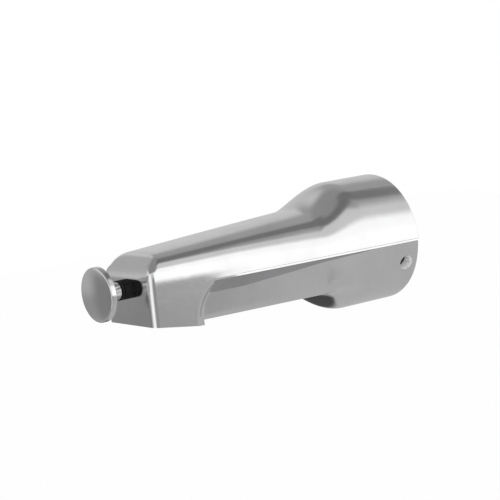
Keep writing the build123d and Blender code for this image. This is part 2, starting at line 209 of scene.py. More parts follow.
def lip_inset(out):
    return lip_edge + (lip_depth - lip_edge) * out / hood_rear_out


def panel_half_width(out):
    return half_width(out) - lip_inset(out)


def belly_bottom(out):
    return belly_depth + (ring_radius - belly_depth) * belly_share(out)


def shoulder_radius(out):
    """Radius of the round shoulder that swells out of the arm's underside into the bell."""
    share = (belly_neck_out - out) / (belly_neck_out - belly_shoulder_out)
    return belly_bottom(out) + 4 * wall_thickness * np.minimum(share, 0.0)


def smooth_least(first, second, blend):
    """The smaller of two values, with the change from one to the other rounded off."""
    overlap = np.maximum(blend - np.abs(first - second), 0.0)
    return np.minimum(first, second) - overlap**2 / (4 * blend)


def cove_drop(out):
    return cove_depth * np.minimum(out / cove_full_out, 1.0) ** cove_power


def crowded(count):
    """Angles over half a turn, with more of them at the two corners."""
    quarter, place = np.divmod(np.linspace(0, 2, count), 1)
    side = 2 * place - 1
    return (quarter + (1 + np.copysign(np.abs(side) ** corner_crowding, side)) / 2) * math.pi / 2


def arch_lean_in(out, rise):
    """Share of the width left at a rise (0 at the lip, 1 at the crown), for the casting's draft."""
    return 1 - arch_draft * (1 - eased((out - draft_end_out) / draft_fade)) * rise * (1 - rise) ** 2


def belly_lean_in(out, fall):
    """The same below the lip: a plain draft on the side panel and a slight one on the bell."""
    share = belly_share(out)
    return 1 - (1 - share) * panel_draft * fall - share * arch_draft * fall * (1 - fall) ** 2


def quarter_round(depth, radius):
    """How far a rounded edge draws in, at a depth measured from the face that it meets."""
    rest = np.clip(radius - depth, 0.0, radius)
    return radius - np.sqrt(radius * radius - rest * rest)


def grid_normals(grid):
    """Unit normals of a smooth grid of points."""
    across = np.gradient(grid, axis=1)
    along = np.gradient(grid, axis=0)
    normal = np.cross(across, along)
    length = np.linalg.norm(normal, axis=2, keepdims=True)
    return normal / np.maximum(length, 1e-12)


# Face groups while the casting is put together
GROUP_COUNT = 6
PLATED, ARCH, BELLY, INSIDE, COVE, MOUTH = range(GROUP_COUNT)
group_materials = [bpy.data.materials.new(f"group_{group}") for group in range(GROUP_COUNT)]
skins = {}


def keep_skin(group, grid, centre_z):
    """Keeps a skin's points and outward normals, for smooth shading after the cuts."""
    normal = grid_normals(grid)
    middle = np.zeros_like(grid)
    middle[..., 1] = grid[..., 1]
    middle[..., 2] = centre_z
    if np.mean(np.einsum("ijk,ijk->ij", normal, grid - middle)) < 0:
        normal = -normal
    skins[group] = (grid.reshape(-1, 3), normal.reshape(-1, 3))


def add_object(name, data):
    added = bpy.data.objects.new(name, data)
    bpy.context.scene.collection.objects.link(added)
    return added


def raw_object(name, points, faces, groups):
    """Object in millimetres with its faces turned outwards and sorted by group."""
    mesh = bpy.data.meshes.new(name)
    mesh.from_pydata(np.asarray(points, float).tolist(), [], faces)
    for made in group_materials:
        mesh.materials.append(made)
    mesh.polygons.foreach_set("material_index", np.asarray(groups, np.int32))
    shaped = bmesh.new()
    shaped.from_mesh(mesh)
    bmesh.ops.recalc_face_normals(shaped, faces=shaped.faces)
    if shaped.calc_volume(signed=True) < 0:
        bmesh.ops.reverse_faces(shaped, faces=shaped.faces)
    shaped.to_mesh(mesh)
    shaped.free()
    return add_object(name, mesh)


def loft(name, loops, group, cap_group=PLATED):
    """Closed solid through loops of equal count."""
    loops = np.asarray(loops, float)
    stations, count = loops.shape[:2]
    faces = []
    for i in range(stations - 1):
        for j in range(count):
            k = (j + 1) % count
            faces.append((i * count + j, i * count + k, (i + 1) * count + k, (i + 1) * count + j))
    groups = [group] * len(faces)
    faces.append(tuple(range(count)))
    faces.append(tuple(range((stations - 1) * count, stations * count)))
    groups += [cap_group, cap_group]
    return raw_object(name, loops.reshape(-1, 3), faces, groups)


def boolean(target, tool, operation):
    """Joins the tool to the target or cuts it out of it, and then removes the tool."""
    step = target.modifiers.new(operation, "BOOLEAN")
    step.solver = "MANIFOLD"
    step.operation = operation
    step.object = tool
    graph = bpy.context.evaluated_depsgraph_get()
    made = bpy.data.meshes.new_from_object(target.evaluated_get(graph))
    target.modifiers.clear()
    old = target.data
    target.data = made
    bpy.data.meshes.remove(old)
    used = tool.data
    bpy.data.objects.remove(tool)
    bpy.data.meshes.remove(used)


def turned_loops(profile, segments):
    """Loops about the spout's axis from (radius, distance from the wall) points."""
    angles = np.linspace(0, 2 * math.pi, segments, endpoint=False)
    return [[(r * math.cos(a), -out, r * math.sin(a)) for a in angles] for r, out in profile]


def rod(name, radius, start_out, end_out):
    """Round form on the spout's axis."""
    return loft(name, turned_loops([(radius, start_out), (radius, end_out)], 96), INSIDE, INSIDE)


def radial_rod(name, stations, group, segments=72):
    """Round form on the set screw's axis, from (reach, radius) stations."""
    outward = np.array((math.cos(screw_angle), 0.0, math.sin(screw_angle)))
    side = np.array((0.0, 1.0, 0.0))
    up = np.cross(outward, side)
    base = np.array((0.0, -screw_out, 0.0))
    angles = np.linspace(0, 2 * math.pi, segments, endpoint=False)
    loops = [
        [base + outward * reach + side * radius * math.cos(a) + up * radius * math.sin(a) for a in angles]
        for reach, radius in stations
    ]
    return loft(name, loops, group, group)


def plan_block(name, start, end, bottom, top):
    """Block with a tapered plan, from the (distance from the wall, half width) of its two ends."""
    corners = [(width, -out) for out, width in (start, end)]
    corners += [(-width, -out) for out, width in (end, start)]
    return loft(name, [[(x, y, z) for x, y in corners] for z in (bottom, top)], INSIDE, INSIDE)


def roof_height(out, inset):
    """Height of the face that rolls down from the crown into the nose."""
    roll = nose_roll_radius - inset
    level = math.cos(top_slope)
    centre = arm_top(nose_roll_out) + nose_roll_lift - nose_roll_radius / level
    arc = centre + np.sqrt(np.maximum(roll * roll - (out - nose_roll_out) ** 2, 0.0))
    tangent_out = nose_roll_out - roll * math.sin(top_slope)
    back = arm_top(out) - inset / level + nose_roll_lift + roof_clearing * (tangent_out - out) ** 2
    return np.where(out < tangent_out, back, arc)


def roof_lean(out, inset):
    """Angle of that face, from the arm's slope to upright at the nose."""
    turn = np.clip((out - nose_roll_out) / (nose_roll_radius - inset), 0.0, 1.0)
    return np.where(out < nose_roll_out, -top_slope, np.arcsin(turn))


def arch_grid(outs, angles, inset, edge, width_of=None):
    """Points of the arch, cut down by the rolled nose with a rounded crease."""
    out = outs[:, None]
    c = np.cos(angles)[None, :]
    s = np.maximum(np.sin(angles), 0.0)[None, :]
    end_round = quarter_round(out, wall_end_radius) if inset == 0 else 0.0
    corner = quarter_round(body_length - out, nose_edge_radius) if inset == 0 else 0.0
    width = (half_width(out) - inset if width_of is None else width_of(out)) - end_round - corner
    height = crown_height(out) - inset - end_round
    power = arch_squareness(out)
    reach = (np.abs(c) ** power + s**power) ** (-1 / power)
    free = np.stack((width * reach * c, np.broadcast_to(-out, reach.shape), height * reach * s), axis=2)
    normal = grid_normals(free)
    normal = np.where(normal[..., 2:3] < 0, -normal, normal)
    lean = roof_lean(out, inset)
    facing = normal[..., 2] * np.cos(lean) - normal[..., 1] * np.sin(lean)
    half_turn = np.arccos(np.clip(facing, -1.0, 1.0)) / 2
    limit = roof_height(out, inset) / np.maximum(height * s, 1e-6)
    size = np.sqrt(free[..., 0] ** 2 + free[..., 2] ** 2) / reach
    blend = 4 * edge * (1 / np.maximum(np.cos(half_turn), 0.3) - 1) / size + 1e-9
    gap = np.clip(blend - np.abs(reach - limit), 0.0, None)
    reach = np.minimum(reach, limit) - gap * gap / (4 * blend)
    x = width * reach * c
    z = height * reach * s
    if inset == 0:
        x = x * arch_lean_in(out, np.clip(z / height, 0.0, 1.0))
        x = x - np.sign(x) * quarter_round(z, lip_round * lip_share(out) + 1e-6)
    return np.stack((x, np.broadcast_to(-out, x.shape), z), axis=2)


def belly_grid(outs, angles, inset):
    """Points of the lower half: the arm's squared underside, which melts into the round bell."""
    out = outs[:, None]
    c = np.cos(angles)[None, :]
    s = np.maximum(np.sin(angles), 0.0)[None, :]
    end_round = quarter_round(out, wall_end_radius) if inset == 0 else 0.0
    across = np.abs(c) / (panel_half_width(out) - inset)
    nearness = np.maximum((belly_neck_out - out) / belly_neck_out * belly_melt_reach, 0.0)
    melt = eased(nearness**belly_melt_power)
    power = belly_squareness * (2 / belly_squareness) ** melt
    arm = (across**power + (s / (belly_depth - inset)) ** power) ** (-1 / power)
    bell = (across**2 + (s / (shoulder_radius(out) - inset)) ** 2) ** -0.5
    blend = belly_least_blend + belly_blend * (1 - belly_share(out)) + belly_side_blend * (2 * c * s) ** 2
    reach = -smooth_least(-arm, -bell, blend) - end_round
    x = reach * c
    if inset == 0:
        x = x * belly_lean_in(out, np.clip(reach * s / belly_bottom(out), 0.0, 1.0))
    return np.stack((x, np.broadcast_to(-out, reach.shape), -reach * s), axis=2)


def closed_above(grid):
    """Adds two points above the ends of each half loop, so that it laps into the arch."""
    ends = grid[:, [-1, 0]].copy()
    ends[..., 2] = 1.0
    return np.concatenate((grid, ends), axis=1)


# Outer form of the casting: the arch first, with a crease that tightens as the nose rolls down
near_wall = wall_end_radius * (1 - np.cos(np.linspace(0, math.pi / 2, 7)))
arch_outs = np.concatenate((
    near_wall,
    np.linspace(1.5, nose_roll_out - 4.0, 116),
    np.linspace(nose_roll_out - 3.5, nose_roll_out - 0.4, 8),
    nose_roll_out + nose_roll_radius * np.sin(np.linspace(0, math.pi / 2, 47)),
))
arch_angles = np.radians(np.concatenate((
    np.linspace(0, 1, 6), np.linspace(2, 178, 177), np.linspace(179, 180, 6)
)))
roll_share = np.maximum(arch_outs - nose_roll_out, 0.0) / nose_roll_radius
rolled_down = 1 - np.sqrt(np.maximum(1 - roll_share**2, 0.0))
crease = nose_crease + (nose_edge_radius - nose_crease) * rolled_down[:, None]
arch_points = arch_grid(arch_outs, arch_angles, 0.0, crease)
keep_skin(ARCH, arch_points, 0.0)
casting = loft("spout_shell", arch_points, ARCH)


def join(tool):
    boolean(casting, tool, "UNION")


def cut(tool):
    boolean(casting, tool, "DIFFERENCE")


belly_outs = np.concatenate((
    near_wall, np.linspace(1.5, 28, 22), np.linspace(28.8, 59.2, 77), np.linspace(60, hood_rear_out, 58)
))
belly_points = belly_grid(belly_outs, crowded(221), 0.0)
keep_skin(BELLY, belly_points, 0.0)
join(loft("belly", closed_above(belly_points), BELLY))

# Plated edge of the lip, with a fine line above it, and the cove under it, which is rough and takes painted
# shade under the lip
for side in (1, -1):
    edge_loops = []
    cove_loops = []
    for out in np.linspace(0.5, hood_rear_out, 60):
        lip = half_width(out) - 0.02
        foot = -lip_edge_height
        drop = float(max(cove_drop(out), lip_edge_height + lip_edge))
        panel = panel_half_width(out) * float(belly_lean_in(out, drop / belly_bottom(out))) - 0.05
        buried = panel - 1.5
        groove = lip_groove * float(lip_share(out))
        edge = ((buried, 0.2), (lip - groove, 0.03), (lip - 0.6 * groove, -0.12), (lip, foot), (buried, foot))
        cove = ((buried, -lap), (lip - lap, -lap), (lip - 0.03, foot + 0.02), (panel, -drop), (buried, -drop))
        edge_loops.append([(side * x, -out, z) for x, z in edge])
        cove_loops.append([(side * x, -out, z) for x, z in cove])
    join(loft("cove", cove_loops, COVE))
    join(loft("lip_edge", edge_loops, PLATED))


def hood_rim(out):
    """Height of the hood's sloping rim."""
    return -hood_nose_depth - (body_length - out) * math.tan(hood_slope)


def hood_loop(front, rear, bottom, draw_in, side):
    """Side outline of the hood, drawn in by the rounding of its edges."""
    sweep_out = hood_rear_out - hood_sweep_radius
    front_out = body_length - front
    rear_out = hood_rear_out + rear
    radius = hood_sweep_radius + rear
    outline = [(front_out, z) for z in np.linspace(lap, hood_rim(front_out) + bottom, 12)]
    outline += [(out, hood_rim(out) + bottom) for out in np.linspace(front_out, rear_out, 16)[1:]]
    for turn in np.linspace(0, math.pi / 2, 61):
        height = min(radius * math.sin(turn) - hood_sweep_radius, lap)
        outline.append((sweep_out + radius * math.cos(turn), height))
    outline += [(out, lap) for out in np.linspace(sweep_out, front_out, 12)[:-1]]
    return [(side * (half_width(out) - draw_in), -out, z) for out, z in outline]


def hood_step(count):
    """(depth below the hood's side, shift of its rear edge) pairs down the slanted step to the panel."""
    t = np.linspace(0, 1, count)
    ends = ((1 - t) ** 3, 3 * t * (1 - t) ** 2, 3 * t * t * (1 - t), t**3)
    depth = sum(share * value for share, value in zip(ends, hood_step_depths))
    shift = sum(share * value for share, value in zip(ends, hood_step_shifts))
    return list(zip(depth, shift)) + [hood_step_end]


hood_loops = []
steps = hood_step(26)
for side, order in ((1, steps), (-1, steps[::-1])):
    for depth, shift in order:
        front = float(quarter_round(depth, nose_edge_radius))
        bottom = float(quarter_round(depth, hood_bottom_round))
        hood_loops.append(hood_loop(front, shift, bottom, depth, side))
join(loft("hood", hood_loops, PLATED))

# Hollow of the bell and arm
core_outs = np.concatenate(([-1.0], np.linspace(0.0, partition_out, 60)))
core_angles = np.radians(np.linspace(0, 180, 61))
core = arch_grid(np.maximum(core_outs, 0.0), core_angles, wall_thickness, core_crease)
core[..., 1] = -core_outs[:, None]
cut(loft("arm_core", core, INSIDE, INSIDE))
core = belly_grid(np.maximum(core_outs, 0.0), core_angles, wall_thickness)
core[..., 1] = -core_outs[:, None]
cut(loft("belly_core", closed_above(core), INSIDE, INSIDE))


def outlet_half_width(out):
    """Half width of the outlet, from the panel's inner face to the hood's at the nose."""
    rear = float(panel_half_width(partition_front_out)) - wall_thickness
    front = float(half_width(nose_inner_out)) - hood_wall
    return rear + (front - rear) * (out - partition_front_out) / (nose_inner_out - partition_front_out)


# Outlet, open at the bottom behind the nose
outlet_roll = nose_roll_radius - wall_thickness
outlet_front_out = nose_roll_out + outlet_roll * math.sin(outlet_front_turn)
outlet_outs = np.concatenate((
    np.linspace(partition_front_out, nose_roll_out - 1.0, 26),
    nose_roll_out + outlet_roll * np.sin(np.linspace(0, outlet_front_turn, 24)),
))
outlet = arch_grid(outlet_outs, core_angles, wall_thickness, outlet_crease, outlet_half_width)
cut(loft("outlet_core", outlet, INSIDE, INSIDE))
outlet_back, mouth_back, outlet_front = (
    (out, outlet_half_width(out)) for out in (partition_front_out, outlet_rear_out, outlet_front_out)
)
cut(plan_block("outlet_floor", outlet_back, outlet_front, wall_thickness - belly_depth, 0.5))
cut(plan_block("outlet_mouth", mouth_back, outlet_front, -60.0, -1.0))

# Valve chamber, collar for the pipe adapter, its two webs and the screw's boss
join(rod("chamber", tube_seat_radius + chamber_wall, tube_seat_out, partition_out + 0.5))
cut(rod("tube_seat", tube_seat_radius, tube_seat_out - 1.0, chamber_rear_out))
cut(rod("chamber_bore", chamber_radius, chamber_rear_out - 1.0, partition_out))
cut(rod("seat_hole", seat_hole_radius, partition_out - 2.0, partition_front_out + 2.0))
join(rod("collar", adapter_bore_radius + collar_wall, collar_start_out, collar_end_out))
for web_angle in web_angles:
    along = np.array((math.cos(math.radians(web_angle)), 0.0, math.sin(math.radians(web_angle))))
    across = np.array((-along[2], 0.0, along[0]))
    corners = [along * web_start_reach - across * web_half_thickness]
    corners += [along * web_end_reach + across * side for side in (-web_half_thickness, web_half_thickness)]
    corners += [along * web_start_reach + across * web_half_thickness]
    ends = [np.array((0.0, -out, 0.0)) for out in (collar_start_out, collar_end_out)]
    join(loft("web", [[corner + end for corner in corners] for end in ends], INSIDE, INSIDE))
join(radial_rod("screw_boss", boss_stations, INSIDE))
cut(rod("adapter_bore", adapter_bore_radius, -1.0, adapter_end_out))
cut(radial_rod("screw_bore", screw_bore_stations, INSIDE))
cut(radial_rod("screw_mouth", screw_mouth_stations, MOUTH))
cut(rod("guide_hole", guide_shank_radius + running_gap, nose_inner_out - 2.0, body_length + 1.0))
cut(rod("guide_spot_face", spot_face_radius, spot_face_out, nose_inner_out))


def read_all(collection, attribute, width=1, kind=float):
    """One attribute of all the items in a mesh collection, as an array."""
    values = np.zeros(len(collection) * width, kind)
    collection.foreach_get(attribute, values)
    return values.reshape(-1, width) if width > 1 else values


def smooth_by_skins(piece, sharp_angle):
    """Exact normals on the cut skins, and plain smoothing with sharp edges elsewhere."""
    piece.data.shade_smooth()
    piece.data.set_sharp_from_angle(angle=sharp_angle)
    weigh = piece.modifiers.new("even", "WEIGHTED_NORMAL")
    weigh.keep_sharp = True
    weigh.weight = 100
    mesh = bpy.data.meshes.new_from_object(piece.evaluated_get(bpy.context.evaluated_depsgraph_get()))
    piece.modifiers.clear()
    piece.data = mesh
    normals = read_all(mesh.corner_normals, "vector", 3)
    points = read_all(mesh.vertices, "co", 3)
    totals = read_all(mesh.polygons, "loop_total", kind=np.int32)
    corner_group = np.repeat(read_all(mesh.polygons, "material_index", kind=np.int32), totals)
    corner_face_normal = np.repeat(read_all(mesh.polygons, "normal", 3), totals, axis=0)
    corner_vertex = read_all(mesh.loops, "vertex_index", kind=np.int32)
    for skin, (skin_points, skin_normals) in skins.items():
        tree = kdtree.KDTree(len(skin_points))
        for index, point in enumerate(skin_points):
            tree.insert(point, index)
        tree.balance()
        corners = np.nonzero(corner_group == skin)[0]
        exact = {}
        for vertex in np.unique(corner_vertex[corners]):
            near = tree.find_n(points[vertex], 4)
            weights = np.array([1 / (found[2] + 1e-4) for found in near])
            blended = (skin_normals[[found[1] for found in near]] * weights[:, None]).sum(0)
            exact[vertex] = blended / np.linalg.norm(blended)
        for corner in corners:
            normal = exact[corner_vertex[corner]]
            if normal @ corner_face_normal[corner] > 0.6:
                normals[corner] = normal
    mesh.normals_split_custom_set(normals.tolist())


smooth_by_skins(casting, math.radians(28))


def settle(piece, body, node):
    """Sets a piece in metres, hangs it on its body and lets it stand for a CAD node."""
    piece.data.transform(Matrix.Scale(MM, 4))
    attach(piece, body)
    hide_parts(node)


def turned(name, profile, segments=128):
    """Turned piece from (radius, distance from the wall) points, which start on the axis or form a ring."""
    loops = np.array(turned_loops(profile, segments))
    stations, count = loops.shape[:2]
    ring = profile[0][0] > 1e-6
    faces = []
    for i in range(stations if ring else stations - 1):
        for j in range(count):
            k = (j + 1) % count
            n = (i + 1) % stations
            faces.append((i * count + j, i * count + k, n * count + k, n * count + j))
    shaped = bmesh.new()
    vertices = [shaped.verts.new(point) for point in loops.reshape(-1, 3)]
    for face in faces:
        shaped.faces.new([vertices[index] for index in face])
    bmesh.ops.remove_doubles(shaped, verts=shaped.verts, dist=1e-5)
    bmesh.ops.recalc_face_normals(shaped, faces=shaped.faces)
    mesh = bpy.data.meshes.new(name)
    shaped.to_mesh(mesh)
    shaped.free()
    mesh.shade_smooth()
    mesh.set_sharp_from_angle(angle=math.radians(35))
    return add_object(name, mesh)


def hermite(start, end, start_pull, end_pull, count):
    """Points of a smooth curve between two profile points."""
    t = np.linspace(0, 1, count)[:, None]
    a, b, p, q = (np.array(v, float) for v in (start, end, start_pull, end_pull))
    points = (2 * t**3 - 3 * t**2 + 1) * a + (t**3 - 2 * t**2 + t) * p
    points = points + (3 * t**2 - 2 * t**3) * b + (t**3 - t**2) * q
    return [tuple(point) for point in points]


def rounded(corner, before, after, radius, count=5):
    """Points that round one corner of a profile."""
    corner, before, after = (np.array(v, float) for v in (corner, before, after))
    start = corner + (before - corner) / np.linalg.norm(before - corner) * radius
    end = corner + (after - corner) / np.linalg.norm(after - corner) * radius
    t = np.linspace(0, 1, count)[:, None]
    return [tuple(p) for p in (1 - t) ** 2 * start + 2 * t * (1 - t) * corner + t**2 * end]


# Pull knob: a bored collar that flares into a disc with a low dome
knob_face_out, knob_out = (corner.y / -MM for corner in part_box("diverter_knob"))
knob_collar_out = knob_out + knob_collar_length
knob_bore_out = knob_out + knob_bore_depth
rim_face_out = knob_face_out - knob_dome_height
rim_out = rim_face_out - knob_rim_length
bore_mouth = (stem_bore_radius, knob_out)
collar_end = (knob_collar_radius, knob_collar_out)
rim_start = (knob_radius, rim_out)
knob_profile = [(0, knob_bore_out), (stem_bore_radius, knob_bore_out), bore_mouth]
knob_profile += rounded((knob_collar_radius, knob_out), bore_mouth, collar_end, 0.3)
knob_profile += hermite(collar_end, rim_start, (0, 4.6), (9.5, 2.4), 28)
knob_profile += rounded((knob_radius, rim_face_out), rim_start, (11.0, rim_face_out + 0.1), 0.6)
for t in np.linspace(0.06, 1, 24):
    rise = 0.05 + (knob_dome_height - 0.05) * (1 - (1 - t) ** 2)
    knob_profile.append((12.0 * (1 - t), rim_face_out + rise))
knob = turned("pull_knob", knob_profile)
settle(knob, "diverter", "diverter_knob")


def guide_ring(start_out, end_out, radius, foot_radii, softness):
    """One ring on the guide's collar, with its two outer corners rounded."""
    start = (radius, start_out)
    end = (radius, end_out)
    ring = rounded(start, (foot_radii[0], start_out), end, softness, 3)
    return ring + rounded(end, start, (foot_radii[1], end_out), softness, 3)


# Guide bushing in the nose: a shank, a ribbed collar, a groove and an end ring
guide_face_out = body_length + running_gap
guide_profile = [(stem_bore_radius, 146.0), (guide_shank_radius, 146.0), (guide_shank_radius, guide_face_out)]
for rib in range(guide_rib_count):
    rib_out = guide_face_out + rib * guide_rib_pitch
    feet = (guide_rib_foot_radius, guide_rib_foot_radius)
    guide_profile += guide_ring(rib_out, rib_out + guide_rib_length, guide_collar_radius, feet, 0.12)
    guide_profile.append((guide_rib_foot_radius, rib_out + guide_rib_length + 0.05))
    guide_profile.append((guide_rib_foot_radius, rib_out + guide_rib_pitch))
groove_out = guide_face_out + guide_rib_count * guide_rib_pitch
end_ring_out = groove_out + guide_groove_length
guide_end_out = end_ring_out + guide_end_ring_length
guide_profile += [(guide_groove_radius, groove_out), (guide_groove_radius, end_ring_out)]
feet = (guide_groove_radius, stem_bore_radius)
guide_profile += guide_ring(end_ring_out, guide_end_out, guide_collar_radius, feet, 0.15)
guide_profile.append((stem_bore_radius, guide_end_out))
guide = turned("guide_bushing", guide_profile, 96)
settle(guide, "spout", "stem_guide")
settle(casting, "spout", "spout_body")

# Return spring, which shortens as the knob is pulled
spring_front_out, spring_back_out = (corner.y / -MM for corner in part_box("return_spring"))
spring_length = spring_front_out - spring_back_out
around = np.linspace(0, 2 * math.pi, 16, endpoint=False)
wire_loops = []
for share in np.linspace(0, 1, spring_turns * 60 + 1):
    turn = 2 * math.pi * spring_turns * share
    wire_out = spring_back_out + spring_wire_radius + (spring_length - 2 * spring_wire_radius) * share
    wire_loop = []
    for a in around:
        radius = spring_coil_radius + spring_wire_radius * math.cos(a)
        y = -wire_out - spring_wire_radius * math.sin(a)
        wire_loop.append((radius * math.cos(turn), y, radius * math.sin(turn)))
    wire_loops.append(wire_loop)
spring = loft("return_coil", wire_loops, PLATED)
spring.data.shade_smooth()
spring.data.set_sharp_from_angle(angle=math.radians(60))
settle(spring, "spout", "return_spring")
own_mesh(spring)


# Shader node groups that several finishes share
def new_group(name, inputs, outputs):
    """Empty node group from its number inputs, as (name, value), and the names of its outputs."""
    group = bpy.data.node_groups.new(name, "ShaderNodeTree")
    for socket, value in inputs:
        made = group.interface.new_socket(socket, in_out="INPUT", socket_type="NodeSocketFloat")
        made.default_value = value
    for socket in outputs:
        group.interface.new_socket(socket, in_out="OUTPUT", socket_type="NodeSocketFloat")
    entry = group.nodes.new("NodeGroupInput")
    leave = group.nodes.new("NodeGroupOutput")
    return group, entry, leave


def add_math(tree, operation, first, second=None, clamp=False):
    """Maths node whose inputs are sockets or numbers. Returns its result."""
    node = tree.nodes.new("ShaderNodeMath")
    node.operation = operation
    node.use_clamp = clamp
    for place, value in enumerate((first, second)):
        if value is None:
            continue
        if isinstance(value, (int, float)):
            node.inputs[place].default_value = value
        else:
            tree.links.new(value, node.inputs[place])
    return node.outputs[0]


def add_noise(tree, place, scale, detail=2.0, roughness=0.5):
    node = tree.nodes.new("ShaderNodeTexNoise")
    node.inputs["Detail"].default_value = detail
    node.inputs["Roughness"].default_value = roughness
    tree.links.new(place, node.inputs["Vector"])
    tree.links.new(scale, node.inputs["Scale"])
    return node.outputs["Fac"]


def object_place(tree):
    return tree.nodes.new("ShaderNodeTexCoord").outputs["Object"]


def polishing_lines_group():
    """Fine lines that the polishing wheel leaves along the spout."""
    group, entry, leave = new_group("polishing lines", [("Fineness", 900.0), ("Stretch", 0.02)], ["Lines"])
    parts = group.nodes.new("ShaderNodeSeparateXYZ")
    group.links.new(object_place(group), parts.inputs[0])
    along = add_math(group, "MULTIPLY", parts.outputs["Y"], entry.outputs["Stretch"])
    join_up = group.nodes.new("ShaderNodeCombineXYZ")
    group.links.new(parts.outputs["X"], join_up.inputs["X"])
    group.links.new(along, join_up.inputs["Y"])
    group.links.new(parts.outputs["Z"], join_up.inputs["Z"])
    lines = add_noise(group, join_up.outputs[0], entry.outputs["Fineness"], 3.0, 0.65)
    group.links.new(lines, leave.inputs["Lines"])
    return group


def turning_rings_group():
    """Rings that a lathe tool leaves round the axis of the spout."""
    group, entry, leave = new_group("turning rings", [("Fineness", 1500.0)], ["Rings"])
    parts = group.nodes.new("ShaderNodeSeparateXYZ")
    group.links.new(object_place(group), parts.inputs[0])
    square_x = add_math(group, "MULTIPLY", parts.outputs["X"], parts.outputs["X"])
    square_z = add_math(group, "MULTIPLY", parts.outputs["Z"], parts.outputs["Z"])
    radius = add_math(group, "SQRT", add_math(group, "ADD", square_x, square_z))
    join_up = group.nodes.new("ShaderNodeCombineXYZ")
    group.links.new(radius, join_up.inputs["X"])
    group.links.new(parts.outputs["Y"], join_up.inputs["Y"])
    rings = add_noise(group, join_up.outputs[0], entry.outputs["Fineness"], 2.0, 0.6)
    group.links.new(rings, leave.inputs["Rings"])
    return group


def cloud_group():
    """Broad, soft change over the surface, such as uneven buffing, tarnish or bloom."""
    group, entry, leave = new_group("cloud", [("Size", 40.0), ("Contrast", 1.0)], ["Cloud"])
    noise = add_noise(group, object_place(group), entry.outputs["Size"], 4.0, 0.55)
    centred = add_math(group, "SUBTRACT", noise, 0.5)
    stretched = add_math(group, "MULTIPLY", centred, entry.outputs["Contrast"])
    group.links.new(add_math(group, "ADD", stretched, 0.5, clamp=True), leave.inputs["Cloud"])
    return group


def edge_group():
    """Mask of the edges, where a finish rubs thin or the wheel polishes it bright."""
    group, entry, leave = new_group("worn edge", [("Width", 0.0006), ("Breakup", 400.0)], ["Edge"])
    bevel = group.nodes.new("ShaderNodeBevel")
    bevel.samples = 6
    group.links.new(entry.outputs["Width"], bevel.inputs["Radius"])
    surface = group.nodes.new("ShaderNodeNewGeometry")
    compare = group.nodes.new("ShaderNodeVectorMath")
    compare.operation = "DOT_PRODUCT"
    group.links.new(bevel.outputs["Normal"], compare.inputs[0])
    group.links.new(surface.outputs["Normal"], compare.inputs[1])
    apart = add_math(group, "SUBTRACT", 1.0, compare.outputs["Value"])
    bend = add_math(group, "MULTIPLY", apart, 8.0, clamp=True)
    noise = add_noise(group, object_place(group), entry.outputs["Breakup"], 3.0, 0.6)
    broken = add_math(group, "MULTIPLY", bend, add_math(group, "MULTIPLY", noise, 1.7), clamp=True)
    group.links.new(broken, leave.inputs["Edge"])
    return group


def grain_group():
    """Fine grain of a moulded or cast skin, with sparse pits."""
    group, entry, leave = new_group("skin grain", [("Fineness", 2500.0), ("Pits", 0.35)], ["Grain", "Pit"])
    place = object_place(group)
    grain = add_noise(group, place, entry.outputs["Fineness"], 2.0, 0.6)
    cells = group.nodes.new("ShaderNodeTexVoronoi")
    group.links.new(place, cells.inputs["Vector"])
    group.links.new(add_math(group, "MULTIPLY", entry.outputs["Fineness"], 0.3), cells.inputs["Scale"])
    near = add_math(group, "MULTIPLY", cells.outputs["Distance"], 4.0, clamp=True)
    hollow = add_math(group, "SUBTRACT", 1.0, near)
    pit = add_math(group, "MULTIPLY", hollow, entry.outputs["Pits"], clamp=True)
    group.links.new(grain, leave.inputs["Grain"])
    group.links.new(pit, leave.inputs["Pit"])
    return group


polishing_lines = polishing_lines_group()
turning_rings = turning_rings_group()
cloud = cloud_group()
worn_edge = edge_group()
skin_grain = grain_group()


def place_group(tree, group, **values):
    node = tree.nodes.new("ShaderNodeGroup")
    node.node_tree = group
    for socket, value in values.items():
        node.inputs[socket].default_value = value
    return node


def blend_colour(tree, amount, first, second):
    """Colour that goes from the first to the second with the amount."""
    node = tree.nodes.new("ShaderNodeMix")
    node.data_type = "RGBA"
    tree.links.new(amount, node.inputs["Factor"])
    for socket, value in ((node.inputs[6], first), (node.inputs[7], second)):
        if isinstance(value, tuple):
            socket.default_value = (*value, 1)
        else:
            tree.links.new(value, socket)
    return node.outputs[2]


def spread(tree, amount, low, high):
    """Number that goes from low to high with the amount."""
    node = tree.nodes.new("ShaderNodeMapRange")
    node.inputs["To Min"].default_value = low
    node.inputs["To Max"].default_value = high
    tree.links.new(amount, node.inputs["Value"])
    return node.outputs["Result"]


def raise_surface(tree, shader, heights):
    """Chains one bump for each (height, depth in metres) pair into the shader's normal."""
    normal = None
    for height, depth in heights:
        bump = tree.nodes.new("ShaderNodeBump")
        bump.inputs["Distance"].default_value = depth
        tree.links.new(height, bump.inputs["Height"])
        if normal is not None:
            tree.links.new(normal, bump.inputs["Normal"])
        normal = bump.outputs["Normal"]
    tree.links.new(normal, shader.inputs["Normal"])


